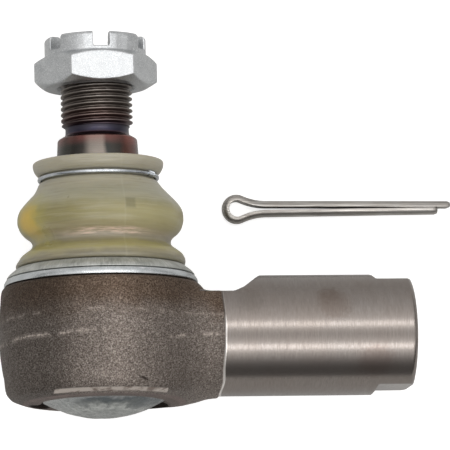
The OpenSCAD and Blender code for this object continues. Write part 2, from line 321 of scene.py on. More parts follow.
class Board:
    """Places and wires the nodes of one material or node group."""

    def __init__(self, tree):
        self.tree = tree

    def add(self, kind, feeds=None, **settings):
        node = self.tree.nodes.new(kind)
        for key, value in settings.items():
            setattr(node, key, value)
        for key, value in (feeds or {}).items():
            self.feed(node.inputs[key], value)
        return node

    def feed(self, socket, value):
        if isinstance(value, bpy.types.NodeSocket):
            self.tree.links.new(value, socket)
        else:
            socket.default_value = value

    def math(self, operation, a, b=0.0, c=0.0, clamp=False):
        return self.add("ShaderNodeMath", {0: a, 1: b, 2: c},
                        operation=operation, use_clamp=clamp).outputs[0]

    def times(self, a, b):
        return self.math("MULTIPLY", a, b)

    def plus(self, a, b):
        return self.math("ADD", a, b)

    def minus(self, a, b):
        return self.math("SUBTRACT", a, b)

    def times_plus(self, a, b, c, clamp=False):
        """a times b, plus c."""
        return self.math("MULTIPLY_ADD", a, b, c, clamp)

    def absolute(self, a):
        return self.math("ABSOLUTE", a)

    def mix(self, share, a, b, how="MIX"):
        return self.add("ShaderNodeMix", {0: share, 6: a, 7: b},
                        data_type="RGBA", blend_type=how).outputs[2]

    def span(self, value, low, high, to_low=0.0, to_high=1.0, smooth=False):
        return self.add("ShaderNodeMapRange", {0: value, 1: low, 2: high, 3: to_low, 4: to_high},
                        interpolation_type="SMOOTHSTEP" if smooth else "LINEAR").outputs[0]

    def ramp(self, value, *stops):
        node = self.add("ShaderNodeValToRGB", {0: value})
        ramp = node.color_ramp
        while len(ramp.elements) < len(stops):
            ramp.elements.new(0.5)
        for element, (at, colour) in zip(ramp.elements, stops):
            element.position = at
            element.color = colour
        return node.outputs[0]

    def shades(self, value, *stops):
        """A ramp through screen colours, each stop given as (place, red, green, blue)."""
        return self.ramp(value, *[(at, paint(*colour)) for at, *colour in stops])

    def noise(self, vector, scale, detail=2.0, rough=0.5, distortion=0.0):
        return self.add("ShaderNodeTexNoise",
                        {"Vector": vector, "Scale": scale, "Detail": detail,
                         "Roughness": rough, "Distortion": distortion}).outputs[0]

    def stretch(self, vector, x, y, z):
        return self.add("ShaderNodeMapping", {"Vector": vector, "Scale": (x, y, z)}).outputs[0]

    def place(self):
        """Object coordinates in millimetres, as a vector and as x, y, z."""
        raw = self.add("ShaderNodeTexCoord").outputs["Object"]
        vector = self.stretch(raw, 1000, 1000, 1000)
        parts = self.add("ShaderNodeSeparateXYZ", {0: vector}).outputs
        return vector, parts[0], parts[1], parts[2]

    def radius(self, x, z):
        """Distance from the stud's axis."""
        return self.math("SQRT", self.plus(self.times(x, x), self.times(z, z)))

    def attribute(self, name):
        return self.add("ShaderNodeAttribute", attribute_name=name).outputs["Fac"]

    def bump(self, height, distance, strength=1.0, normal=None):
        feeds = {"Height": height, "Distance": distance * MM, "Strength": strength}
        if normal is not None:
            feeds["Normal"] = normal
        return self.add("ShaderNodeBump", feeds).outputs[0]

    def group(self, tree, **feeds):
        node = self.add("ShaderNodeGroup", node_tree=tree)
        for key, value in feeds.items():
            self.feed(node.inputs[key.replace("_", " ")], value)
        return node.outputs


def new_group(name, inputs, outputs):
    """An empty node group with its named inputs and outputs."""
    tree = bpy.data.node_groups.new(name, "ShaderNodeTree")
    for label, kind, default in inputs:
        socket = tree.interface.new_socket(label, in_out="INPUT", socket_type=kind)
        if default is not None:
            socket.default_value = default
    for label, kind in outputs:
        tree.interface.new_socket(label, in_out="OUTPUT", socket_type=kind)
    board = Board(tree)
    return tree, board, board.add("NodeGroupInput").outputs, board.add("NodeGroupOutput").inputs


FLOAT, VECTOR = "NodeSocketFloat", "NodeSocketVector"


def make_grain():
    """Fine crystalline grain with bright facets, as on blasted or plated steel."""
    tree, b, given, out = new_group(
        "Grain", [("Place", VECTOR, None), ("Size", FLOAT, 0.8), ("Sparkle", FLOAT, 0.5)],
        [("Value", FLOAT), ("Facets", FLOAT), ("Height", FLOAT)])
    scale = b.math("DIVIDE", 1.0, given["Size"])
    soft = b.noise(given["Place"], scale, 3.0, 0.65)
    cells = b.add("ShaderNodeTexVoronoi",
                  {"Vector": given["Place"], "Scale": b.times(scale, 1.3)},
                  feature="F1")
    shade = b.add("ShaderNodeSeparateColor", {0: cells.outputs["Color"]}).outputs[0]
    facets = b.span(shade, 0.72, 1.0, 0.0, 1.0)
    facets = b.times(facets, given["Sparkle"])
    b.feed(out["Value"], b.span(soft, 0.28, 0.72))
    b.feed(out["Facets"], facets)
    b.feed(out["Height"], b.times_plus(cells.outputs["Distance"], 0.15, soft))
    return tree


def make_clouds():
    """Large soft patches of lighter and darker finish."""
    tree, b, given, out = new_group(
        "Clouds", [("Place", VECTOR, None), ("Size", FLOAT, 8.0), ("Contrast", FLOAT, 1.0)],
        [("Value", FLOAT)])
    soft = b.noise(given["Place"], b.math("DIVIDE", 1.0, given["Size"]), 4.0, 0.55, 0.4)
    away = b.minus(soft, 0.5)
    value = b.times_plus(away, b.times(given["Contrast"], 2.2), 0.5,
                         clamp=True)
    b.feed(out["Value"], value)
    return tree


def make_lathe_marks():
    """Fine tool marks that run round a turned surface, from the distance along its axis."""
    tree, b, given, out = new_group(
        "Lathe marks",
        [("Along", FLOAT, 0.0), ("Round", FLOAT, 0.0), ("Pitch", FLOAT, 0.5)],
        [("Value", FLOAT)])
    along = b.math("DIVIDE", given["Along"], given["Pitch"])
    flat = b.add("ShaderNodeCombineXYZ",
                 {0: along, 1: b.times(given["Round"], 0.02)}).outputs[0]
    fine = b.noise(flat, 1.0, 4.0, 0.75)
    wide = b.noise(flat, 0.17, 2.0, 0.5)
    b.feed(out["Value"], b.span(b.times_plus(wide, 0.25, fine), 0.35, 0.9))
    return tree


def make_edge_wear_sheen_and_shade():
    """Bright edges, partly wear and partly painted highlight, and painted shade in hollows, from
    how sharply the surface turns.
    """
    tree, b, given, out = new_group(
        "Edge wear", [("Place", VECTOR, None), ("Edge", FLOAT, 0.54), ("Hollow", FLOAT, 0.47)],
        [("Edges", FLOAT), ("Hollow shade", FLOAT)])
    point = b.add("ShaderNodeNewGeometry").outputs["Pointiness"]
    ragged = b.times_plus(b.noise(given["Place"], 0.9, 3.0), 0.03, -0.015)
    point = b.plus(point, ragged)
    edge_full = b.plus(given["Edge"], 0.06)
    hollow_full = b.minus(given["Hollow"], 0.06)
    b.feed(out["Edges"], b.span(point, given["Edge"], edge_full))
    b.feed(out["Hollow shade"], b.span(point, given["Hollow"], hollow_full))
    return tree


GRAIN = make_grain()
CLOUDS = make_clouds()
LATHE = make_lathe_marks()
WEAR_SHEEN_AND_SHADE = make_edge_wear_sheen_and_shade()


def new_material(name):
    """A material with its nodes cleared, its board and its surface shader."""
    material = bpy.data.materials.new(name)
    material.use_nodes = True
    material.node_tree.nodes.clear()
    board = Board(material.node_tree)
    shader = board.add("ShaderNodeBsdfPrincipled")
    output = board.add("ShaderNodeOutputMaterial")
    board.tree.links.new(shader.outputs[0], output.inputs[0])
    return material, board, shader.inputs


def surface(b, s, colour, metallic, rough, normal):
    """Feeds a metal or plain finish to the sockets of its shader."""
    b.feed(s["Base Color"], colour)
    s["Metallic"].default_value = metallic
    b.feed(s["Roughness"], rough)
    b.feed(s["Normal"], normal)


# brown and grey spots on the turned shank: place, reach, strength, tint
STAINS = [((75.5, 8.5, 18.3), 7.5, 0.34, (108, 92, 82)),
          ((74.2, 11.6, 16.5), 4.5, 0.28, (98, 82, 72)),
          ((89.5, -11.0, 16.9), 8.0, 0.3, (112, 90, 82)),
          ((47.5, 9.5, 17.8), 6.0, 0.22, (104, 98, 92))]
# painted shade: how light the blasted skin is painted along the shank's direction, in millimetres
PAINTED_SKIN_SHADE = [(-34, 0.48), (-27, 0.43), (-23, 0.40), (-19, 0.42), (-15, 0.55), (-11, 0.72),
             (-7, 0.74), (-3, 0.84), (1, 0.98), (5, 0.86), (9, 0.76), (13, 0.69),
             (19, 0.63), (25, 0.65), (29, 0.74), (34, 0.83), (38, 0.77)]


def forged_steel():
    """Blasted forging with a turned shank, milled relief and machined rim."""
    material, b, s = new_material("Forged and turned steel")
    place, x, y, z = b.place()
    turned_share = b.span(b.attribute("turned_side"), -0.12, 0.12)
    relief_share = b.span(b.attribute("relief_side"), -0.05, 0.05)
    strip_share = b.span(b.attribute("strip_side"), -0.15, 0.15)
    rim_share = b.span(b.attribute("rim_side"), -0.1, 0.1)
    inner_shade_share = b.span(b.attribute("inner_side"), -0.2, 0.2)
    grain = b.group(GRAIN, Place=place, Size=0.46, Sparkle=0.42)
    clouds = b.group(CLOUDS, Place=place, Size=9.0, Contrast=1.2)[0]
    top_patches = b.group(CLOUDS, Place=place, Size=22.0, Contrast=1.5)[0]
    wear_sheen_and_shade = b.group(WEAR_SHEEN_AND_SHADE, Place=place)

    blasted = b.shades(grain["Value"], (0.05, 78, 71, 66), (0.45, 133, 123, 116),
                       (0.95, 190, 180, 172))
    blasted = b.mix(b.times(clouds, 0.3), blasted, paint(116, 105, 98))
    blasted = b.mix(grain["Facets"], blasted, paint(232, 222, 212))
    # painted shade makes the skin darker on the far side from the shank; near the nut the skin is
    # darker and browner
    uneven = b.times_plus(b.noise(place, 0.2, 3.0), 5.0, b.minus(x, 2.5))
    painted_shade = b.ramp(b.span(uneven, -34, 42),
                  *[((at + 34) / 76, (share, share, share, 1.0)) for at, share in PAINTED_SKIN_SHADE])
    blasted = b.mix(1.0, blasted, painted_shade, "MULTIPLY")
    high = b.span(b.times_plus(top_patches, 4.0, y), 2.0, 13.0, 0.0, 0.95, smooth=True)
    blasted = b.mix(high, blasted, paint(208, 192, 177), "MULTIPLY")
    # painted shade: the blasted skin is darkened in hollows
    blasted = b.mix(b.times(wear_sheen_and_shade["Hollow shade"], 0.7), blasted, paint(38, 32, 28))
    # painted highlight along the ridges of the die lines, broken up and fainter towards the nut
    seam = b.attribute("seam_side")
    seam_broken = b.times(b.span(b.noise(place, 0.25, 2.0), 0.44, 0.56),
                          b.span(b.noise(place, 1.3, 2.0, 0.7), 0.40, 0.62, 0.15, 1.0))
    seam_main = b.span(y, 1.5, 3.0, 1.0, 0.4)
    seam_broken = b.times(seam_broken, seam_main)
    for reach, share in ((1.3, 0.35), (0.35, 0.6)):
        seam_highlight = b.span(b.absolute(seam), reach * 0.3, reach, share, 0.0)
        blasted = b.mix(b.times(seam_highlight, seam_broken), blasted, paint(222, 210, 200))
    # painted shade in the small dent on the barrel's front
    blasted = b.mix(b.span(b.attribute("dent_side"), 0.25, 0.7, 0.0, 0.85), blasted,
                    paint(48, 41, 38))

    round_angle = b.math("ARCTAN2", y, z)
    marks = b.group(LATHE, Along=x, Round=b.times(round_angle, 260.0), Pitch=0.34)[0]
    bright = b.shades(marks, (0.0, 126, 119, 115), (0.5, 139, 133, 129), (1.0, 152, 146, 142))
    stain = b.group(CLOUDS, Place=place, Size=14.0, Contrast=0.9)[0]
    bright = b.mix(b.times(stain, 0.25), bright, paint(127, 112, 101))
    scratch = b.noise(b.stretch(place, 0.5, 6.0, 6.0), 0.5, 2.0, 0.6)
    scratch = b.span(scratch, 0.7, 0.74)
    bright = b.mix(b.times(scratch, 0.35), bright, paint(100, 94, 89))
    for spot, reach, share, tint in STAINS:
        away = b.add("ShaderNodeVectorMath", {0: place, 1: spot},
                     operation="DISTANCE").outputs["Value"]
        ragged = b.minus(away, 4.5)
        away = b.times_plus(b.noise(place, 0.9, 4.0, 0.7), 9.0, ragged)
        near = b.span(away, reach * 0.4, reach, share, 0.0, smooth=True)
        bright = b.mix(near, bright, paint(*tint))
    # bright edges: partly wear, partly painted highlight
    bright = b.mix(b.times(wear_sheen_and_shade["Edges"], 0.6), bright, paint(236, 230, 224))
    # painted highlight: a bright line where the turned shank starts, fading towards the nut
    shoulder_highlight = b.span(b.absolute(b.attribute("turned_side")), 0.25, 0.6, 0.9, 0.0)
    shoulder_highlight = b.times(shoulder_highlight, b.span(y, 1.0, 5.0, 1.0, 0.1))

    milled_marks = b.group(LATHE, Along=b.plus(x, z), Round=y, Pitch=0.6)[0]
    milled = b.shades(milled_marks, (0.0, 116, 111, 108), (1.0, 150, 146, 142))

    spots = b.span(b.noise(place, 0.28, 3.0, 0.6), 0.5, 0.62)
    strip = b.mix(b.times(spots, 0.75), paint(190, 180, 172), paint(92, 72, 60))
    rim = b.mix(clouds, paint(134, 119, 114), paint(104, 92, 88))

    colour = b.mix(turned_share, blasted, bright)
    colour = b.mix(shoulder_highlight, colour, paint(246, 242, 238))
    colour = b.mix(relief_share, colour, milled)
    colour = b.mix(strip_share, colour, strip)
    colour = b.mix(rim_share, colour, rim)
    # painted shade inside the cavity and the bore
    colour = b.mix(b.times(inner_shade_share, 0.5), colour, paint(96, 88, 82))
    # painted shade in the staking notches at the rim
    notch_shade = b.span(b.attribute("notch_side"), 0.0, 0.5)
    colour = b.mix(b.times(notch_shade, 0.92), colour, paint(34, 28, 26))
    b.feed(s["Base Color"], colour)
    s["Metallic"].default_value = 1.0

    smooth = b.math("MAXIMUM", turned_share, b.math("MAXIMUM", relief_share, strip_share))
    rough_blast = b.span(grain["Value"], 0.0, 1.0, 0.62, 0.46)
    rough_turned = b.span(marks, 0.0, 1.0, 0.27, 0.17)
    rough = b.add("ShaderNodeMix", {0: smooth, 2: rough_blast, 3: rough_turned}).outputs[0]
    rough = b.math("MAXIMUM", rough, b.times(shoulder_highlight, 0.5))
    b.feed(s["Roughness"], rough)

    grain_normal = b.bump(b.times(grain["Height"], b.minus(1.0, smooth)), 0.42, 1.0)
    b.feed(s["Normal"], b.bump(b.times(marks, smooth), 0.015, 1.0, grain_normal))
    return material


def zinc_plate(name="Zinc plate", light=(226, 228, 229), dark=(150, 154, 158), grain_size=0.3,
               sparkle=0.5, rough=(0.3, 0.44), depth=0.06, cloudy=0.3):
    """Bright zinc plating with cloudy patches, a fine crystalline grain, edges partly worn and
    partly painted highlight, and painted shade in hollows.
    """
    material, b, s = new_material(name)
    place = b.place()[0]
    grain = b.group(GRAIN, Place=place, Size=grain_size, Sparkle=sparkle)
    clouds = b.group(CLOUDS, Place=place, Size=5.0, Contrast=1.1)[0]
    wear_sheen_and_shade = b.group(WEAR_SHEEN_AND_SHADE, Place=place, Edge=0.53, Hollow=0.46)
    share = b.times_plus(grain["Value"], 1.0 - cloudy, b.times(clouds, cloudy))
    colour = b.mix(share, paint(*dark), paint(*light))
    colour = b.mix(grain["Facets"], colour, paint(250, 252, 254))
    # bright edges are partly wear and partly painted highlight; the hollows get painted shade
    colour = b.mix(b.times(wear_sheen_and_shade["Edges"], 0.6), colour, paint(244, 246, 248))
    colour = b.mix(b.times(wear_sheen_and_shade["Hollow shade"], 0.6), colour, paint(92, 94, 96))
    surface(b, s, colour, 1.0, b.span(clouds, 0.0, 1.0, *rough),
            b.bump(grain["Height"], depth, 1.0))
    return material


def dome_zinc():
    """Duller zinc on the pressed plate, darker in an arc near the edge and blotchy below; its
    light and dark rings are partly stain and partly painted reflection.
    """
    material, b, s = new_material("Zinc plate on the dome")
    place, x, _, z = b.place()
    clouds = b.group(CLOUDS, Place=place, Size=6.0, Contrast=1.5)[0]
    fine = b.group(CLOUDS, Place=place, Size=1.6, Contrast=1.4)[0]
    radius = b.radius(x, z)
    level = b.times_plus(b.minus(clouds, 0.5), 4.0, radius)
    # painted reflections and stains: lighter and darker rings by distance from the middle
    arc = b.shades(b.span(level, 0, 20.4),
                   (0.0, 152, 155, 154), (0.34, 164, 167, 165),
                   (0.50, 156, 159, 157), (0.60, 190, 193, 190),
                   (0.70, 138, 141, 140), (0.80, 108, 113, 114),
                   (0.90, 92, 98, 101), (1.0, 146, 148, 149))
    colour = b.mix(b.span(x, -13.0, -7.0, 0.75, 0.0), arc, paint(182, 185, 184))
    colour = b.mix(b.span(fine, 0.4, 0.9, 0.0, 0.35), colour, paint(96, 99, 98))
    surface(b, s, colour, 1.0, b.span(fine, 0.0, 1.0, 0.22, 0.36), b.bump(fine, 0.05, 0.8))
    return material


def grey_band():
    """Dull phosphated band with fine upright scratches."""
    material, b, s = new_material("Grey band")
    place, x, y, z = b.place()
    angle = b.math("ARCTAN2", x, z)
    upright = b.add("ShaderNodeCombineXYZ", {0: b.times(angle, 28.0),
                                             1: b.times(y, 0.25)}).outputs[0]
    lines = b.noise(upright, 1.6, 4.0, 0.7)
    clouds = b.group(CLOUDS, Place=place, Size=6.0, Contrast=1.0)[0]
    share = b.times_plus(lines, 0.7, b.times(clouds, 0.3))
    colour = b.shades(share, (0.25, 130, 132, 128), (0.5, 172, 174, 169), (0.75, 208, 210, 206))
    surface(b, s, colour, 0.7, b.span(lines, 0.3, 0.7, 0.5, 0.36), b.bump(lines, 0.04, 0.6))
    return material


def stud_steel():
    """Turned steel with heat tints, banded along the taper by painted reflections and stains, and
    dark in the thread as painted shade.
    """
    material, b, s = new_material("Stud steel")
    place, x, y, z = b.place()
    radius = b.radius(x, z)
    marks = b.group(LATHE, Along=y, Round=b.times(b.math("ARCTAN2", x, z), 12.0), Pitch=0.3)[0]
    base = b.shades(marks, (0.0, 96, 90, 86), (1.0, 150, 143, 138))
    tint = b.shades(b.span(y, 66.0, 90.0),
                    (0.0, 120, 74, 70), (0.05, 84, 50, 54),
                    (0.10, 34, 36, 66), (0.17, 28, 31, 56),
                    (0.23, 74, 38, 50), (0.32, 104, 70, 66),
                    (0.45, 120, 112, 106), (0.9, 132, 126, 121))
    # painted reflections and stains: bands round the taper by angle
    turn = b.times(b.math("ARCTAN2", x, z), 180 / math.pi)
    ragged = b.times_plus(b.noise(place, 0.15, 2.0), 12.0, -6.0)
    reflection_and_stain_bands = b.shades(b.span(b.plus(turn, ragged), -180, 180),
                     (0.0, 104, 96, 92), (0.12, 70, 68, 66),
                     (0.25, 88, 80, 78), (0.33, 52, 56, 53),
                     (0.42, 58, 58, 57), (0.45, 140, 133, 126),
                     (0.50, 146, 137, 130), (0.52, 50, 54, 54),
                     (0.575, 66, 64, 62), (0.60, 118, 76, 68),
                     (0.66, 104, 70, 66), (0.72, 60, 52, 50),
                     (0.85, 76, 74, 72), (1.0, 104, 96, 92))
    pink = b.span(y, 62.5, 66.0, 0.0, 0.6, smooth=True)
    reflection_and_stain_bands = b.mix(b.times(pink, b.noise(place, 0.2, 2.0)), reflection_and_stain_bands, paint(196, 112, 106))
    on_taper = b.math("LESS_THAN", y, 66.6)
    colour = b.mix(b.span(y, 66.0, 74.0, 0.92, 0.75), base, b.mix(on_taper, tint, reflection_and_stain_bands))
    # painted highlight on the thread's crests and painted shade in its roots
    crest = b.times(b.span(radius, 11.75, 11.98), b.math("GREATER_THAN", y, 70.5))
    root = b.times(b.span(radius, 11.5, 10.9), b.math("GREATER_THAN", y, 71.5))
    colour = b.mix(b.times(root, 0.55), colour, paint(66, 58, 54))
    colour = b.mix(b.times(crest, 0.3), colour, paint(152, 147, 142))
    clouds = b.group(CLOUDS, Place=place, Size=7.0, Contrast=1.0)[0]
    colour = b.mix(b.times(clouds, 0.25), colour, paint(90, 82, 74))
    b.feed(s["Base Color"], colour)
    s["Metallic"].default_value = 1.0
    rough = b.span(marks, 0.0, 1.0, 0.32, 0.2)
    b.feed(s["Roughness"], b.plus(rough, b.span(y, 67.0, 72.0, 0.0, 0.12)))
    b.feed(s["Normal"], b.bump(marks, 0.01, 0.8))
    return material


def pin_steel():
    """Drawn grey wire with fine lines along it and patches of brown stain."""
    material, b, s = new_material("Pin steel")
    place = b.place()[0]
    drawn = b.noise(b.stretch(place, 0.06, 2.4, 2.4), 1.0, 4.0, 0.7)
    clouds = b.group(CLOUDS, Place=place, Size=6.0, Contrast=1.2)[0]
    colour = b.shades(drawn, (0.3, 122, 119, 116), (0.55, 182, 179, 175), (0.75, 222, 220, 215))
    colour = b.mix(b.times(clouds, 0.25), colour, paint(140, 128, 114))
    surface(b, s, colour, 1.0, b.span(drawn, 0.3, 0.7, 0.42, 0.28), b.bump(drawn, 0.03, 0.7))
    return material


def boot_urethane():
    """Cloudy polyurethane, beige at the lip and olive yellow round the folds; painted shade in
    its bands by height, and a painted glint and reflection on its front.
    """
    material, b, s = new_material("Boot urethane")
    place, x, y, z = b.place()
    clouds = b.group(CLOUDS, Place=place, Size=9.0, Contrast=1.0)[0]
    # colour by height: partly the urethane's own tone, partly painted shade in bands across the
    # folds
    level = b.times_plus(b.minus(clouds, 0.5), 1.6, y)
    colour = b.shades(b.span(level, 20.0, 60.0), (0.078, 126, 122, 104), (0.11, 118, 113, 95),
                      (0.145, 138, 131, 101), (0.178, 152, 144, 94),
                      (0.222, 145, 138, 90), (0.258, 128, 121, 96),
                      (0.29, 133, 125, 105), (0.32, 150, 139, 120),
                      (0.348, 146, 137, 108), (0.378, 147, 138, 105),
                      (0.41, 137, 130, 93), (0.445, 133, 126, 84),
                      (0.478, 132, 125, 80), (0.512, 130, 123, 84),
                      (0.548, 138, 133, 100), (0.585, 147, 143, 117),
                      (0.66, 147, 144, 123), (0.738, 151, 146, 126),
                      (0.80, 148, 143, 126), (0.93, 157, 152, 135),
                      (0.99, 165, 160, 146))
    streak = b.noise(b.stretch(place, 0.07, 1.3, 0.07), 1.0, 3.0, 0.6)
    colour = b.mix(b.span(streak, 0.45, 0.75, 0.0, 0.35), colour, paint(172, 166, 144))
    smear = b.noise(b.stretch(place, 0.09, 2.6, 0.09), 1.0, 4.0, 0.65)
    colour = b.mix(b.span(smear, 0.52, 0.7, 0.0, 0.4), colour, paint(112, 104, 76))
    from_fold = b.absolute(b.minus(y, 37.0))
    fold = b.times(b.span(from_fold, 3.0, 5.5, 1.0, 0.0),
                   b.span(x, -12.0, 14.0, 0.0, 0.4))
    colour = b.mix(fold, colour, paint(176, 169, 128))
    amber_place = b.add("ShaderNodeVectorMath",
                        {0: place, 1: (-26.4, 37.2, 9.0)}, operation="DISTANCE").outputs["Value"]
    amber_place = b.times_plus(b.noise(place, 0.3, 2.0), 5.0,
                               b.minus(amber_place, 2.5))
    olive = b.span(amber_place, 5.0, 15.0, 0.55, 0.0, smooth=True)
    colour = b.mix(olive, colour, paint(164, 156, 72))
    amber = b.span(amber_place, 1.5, 9.5, 0.9, 0.0, smooth=True)
    colour = b.mix(amber, colour, paint(196, 164, 58))
    # painted reflection: a small dark square on the front, near the fold
    side_x = b.absolute(b.minus(x, 7.0))
    side_y = b.absolute(b.minus(y, 41.3))
    square_reflection = b.span(b.math("MAXIMUM", side_x, side_y), 1.2, 2.3, 0.4, 0.0, smooth=True)
    front = b.math("GREATER_THAN", z, 0.0)
    colour = b.mix(b.times(square_reflection, front), colour, paint(84, 80, 46))
    line = b.span(b.absolute(b.minus(x, 5.2)), 0.1, 0.5, 0.1, 0.0)
    colour = b.mix(b.times(line, front), colour, paint(190, 186, 166))
    above_fold = b.absolute(b.minus(y, 32.6))
    glint = b.times(b.span(above_fold, 0.6, 1.5, 1.0, 0.0),
                    b.span(b.absolute(x), 8.0, 15.0, 1.0, 0.0))
    broken = b.noise(b.stretch(place, 0.2, 2.2, 0.2), 1.0, 3.0, 0.6)
    glint = b.times(glint, b.span(broken, 0.42, 0.62, 0.0, 0.75))
    colour = b.mix(b.times(glint, front), colour, paint(220, 196, 178))
    b.feed(s["Base Color"], colour)
    b.feed(s["Roughness"], b.span(clouds, 0.0, 1.0, 0.26, 0.4))
    s["Subsurface Weight"].default_value = 0.3
    s["Subsurface Radius"].default_value = (1.0, 0.85, 0.45)
    s["Subsurface Scale"].default_value = 0.003
    s["Coat Weight"].default_value = 0.15
    s["Coat Roughness"].default_value = 0.2
    fine = b.noise(place, 0.5, 3.0, 0.6)
    b.feed(s["Normal"], b.bump(fine, 0.12, 0.6))
    return material


def plain_finish(name, light, dark, metallic, rough, size=1.5):
    """A simple finish with two tones for the parts inside the housing."""
    material, b, s = new_material(name)
    place, x, y, z = b.place()
    radius = b.radius(x, z)
    marks = b.group(LATHE, Along=radius, Round=y, Pitch=size * 0.4)[0]
    clouds = b.group(CLOUDS, Place=place, Size=size * 4, Contrast=1.0)[0]
    share = b.times_plus(marks, 0.5, b.times(clouds, 0.5))
    surface(b, s, b.mix(share, paint(*dark), paint(*light)), metallic,
            b.span(marks, 0.0, 1.0, rough + 0.08, rough - 0.06),
            b.bump(marks, 0.02, 0.6))
    return material


FORGED = forged_steel()
ZINC = zinc_plate()
DOME_ZINC = dome_zinc()
RING_ZINC = zinc_plate("Zinc plate on the ring", (224, 228, 230), (178, 183, 186), 0.6, 0.1,
                       (0.2, 0.3), 0.02, 0.6)
WIRE_ZINC = zinc_plate("Zinc plate on the wire", (212, 216, 220), (150, 156, 162), 0.5, 0.1,
                       (0.14, 0.24), 0.01)
BAND = grey_band()
STUD = stud_steel()
PIN = pin_steel()
URETHANE = boot_urethane()
PLASTIC = plain_finish("Bearing plastic", (232, 229, 216), (208, 204, 188), 0.0, 0.4)
RUBBER = plain_finish("Seal rubber", (38, 38, 38), (22, 22, 22), 0.0, 0.62)
PLAIN_STEEL = plain_finish("Plain steel", (176, 172, 166), (126, 122, 116), 1.0, 0.34)


def finish(obj, material):
    """Gives a piece or a CAD node its one material."""
    obj.data.materials.clear()
    obj.data.materials.append(material)
    return obj


# ---------- housing ----------

SHANK_R = 20.2
SPIGOT_R = 25.2
GROOVE_R = 24.5
SHOULDER_H = 16.8
RELIEF_LINE = [(0, 13.3), (42.4, 13.3), (43.4, 13.6), (46.2, 14.9), (48.7, 16.8), (54.7, 21.5)]
FLATS_X = SHANK_END - 12.0
FLATS_HALF = 17.8
NOTCH_ANGLES = (111, -113)
NOTCH_R = 22.3
NOTCH_DEEP, NOTCH_LONG, NOTCH_WIDE = 2.8, 5.5, 1.9
NECK_FROM, NECK_TO = 12.0, 41.0
NECK_HALF_Z, NECK_HALF_Y, NECK_MIDDLE = (27.2, 20.6), (19.4, 20.6), (-3.4, 0.0)
NECK_FADE = 5.0
BORE_X = SHANK_END - 52.0
SLEEVE_R = 15.3
EDGE = 0.5

BARREL = [
    (0, RIM_H), (23.4, RIM_H), (27, -21.9), (30.9, -20.4), (31.8, -19.2), (32.3, -18.4),
    (33.3, -12), (33.9, -7), (BARREL_R, -2), (BARREL_R, 4), (33.85, 10), (33.2, 15.9),
    (32.3, SHOULDER_H), (GROOVE_R, SHOULDER_H), (GROOVE_R, 20.6), (SPIGOT_R, 21.4),
    (SPIGOT_R, SPIGOT_H - 0.8), (SPIGOT_R - 0.8, SPIGOT_H), (0, SPIGOT_H)]
CAVITY = [
    (-1, SPIGOT_H + 2), (22.4, SPIGOT_H + 2), (21.5, SPIGOT_H), (16.2, 12.6), (17.55, 12.6),
    (21.5, 8.4), (21.5, -17.4), (24.6, -17.4), (24.6, -20.6), (20.4, -20.6),
    (20.4, RIM_H + 0.7), (21.6, RIM_H), (22.6, RIM_H - 1.5), (-1, RIM_H - 1.5)]

barrel_table = OutlineTable(eased(BARREL, 0.9))
cavity_table = OutlineTable(CAVITY)


def forged_edge(z):
    """Where the forged neck ends and the turned shank begins, slightly uneven."""
    return 38.3 + 0.2 * np.cos(z * 0.55)


def relief_tool(x, y):
    """Distance into the cut on the nut's side of the neck."""
    line = np.array(RELIEF_LINE)
    lean = np.interp(x, [42.4, 46.2], [1.0, 0.8])
    return (np.interp(x, line[:, 0], line[:, 1]) - y) * lean


def notch_tool(x, y, z):
    """Distance into the dents that stake the rim over the closure plate."""
    nearest = np.full(len(x), 9.0)
    for degrees in NOTCH_ANGLES:
        a = math.radians(degrees)
        outwards = x * math.sin(a) + z * math.cos(a) - NOTCH_R
        across = x * math.cos(a) - z * math.sin(a)
        q = np.sqrt((outwards / NOTCH_DEEP) ** 2 + (across / NOTCH_LONG) ** 2
                    + ((y - RIM_H) / NOTCH_WIDE) ** 2)
        nearest = np.minimum(nearest, (q - 1) * NOTCH_WIDE)
    return nearest


def housing_distance(p):
    """Signed distance to the housing: barrel, neck and shank, with their cavity and bore."""
    x, y, z = p[:, 0], p[:, 1], p[:, 2]
    turn_r = np.hypot(x, z)
    shank_r = np.hypot(y, z)
    barrel = barrel_table(turn_r, y)
    along = np.clip((x - NECK_FROM) / (NECK_TO - NECK_FROM), 0, 1)
    half_z, half_y, middle = (start + (end - start) * along
                              for start, end in (NECK_HALF_Z, NECK_HALF_Y, NECK_MIDDLE))
    q = np.sqrt((z / half_z) ** 2 + ((y - middle) / half_y) ** 2)
    neck = (q - 1) * np.minimum(half_z, half_y)
    neck = kept(neck, np.maximum(x - forged_edge(z), 6 - x), EDGE)
    shank = np.maximum(shank_r - SHANK_R, 20 - x)
    step_x = FLATS_X - 0.1 - 0.4 * (np.abs(y) - FLATS_HALF)
    shank = kept(shank, np.minimum(np.abs(y) - FLATS_HALF, (x - step_x) * 0.93), 0.3)
    shank = kept(shank, x - SHANK_END, 0.3)
    shank = kept(shank, (x + shank_r - SHANK_END - SHANK_R + 1.2) * 0.7071, 0.3)
    arm = cut(joined(neck, shank, 0.35), relief_tool(x, y), EDGE)
    body = joined(barrel, arm, NECK_FADE)
    body = cut(body, cavity_table(turn_r, y), 0.3)
    body = cut(body, notch_tool(x, y, z), 0.3)
    bore = np.maximum(shank_r - SLEEVE_R - np.clip(x - SHANK_END + 0.8, 0, 1), BORE_X - x)
    return cut(body, bore, 0.3)


def add_attribute(obj, name, values):
    """Stores a value at each point, mostly a signed distance, for a material to read."""
    layer = obj.data.attributes.new(name, "FLOAT", "POINT")
    layer.data.foreach_set("value", np.asarray(values, np.float32))


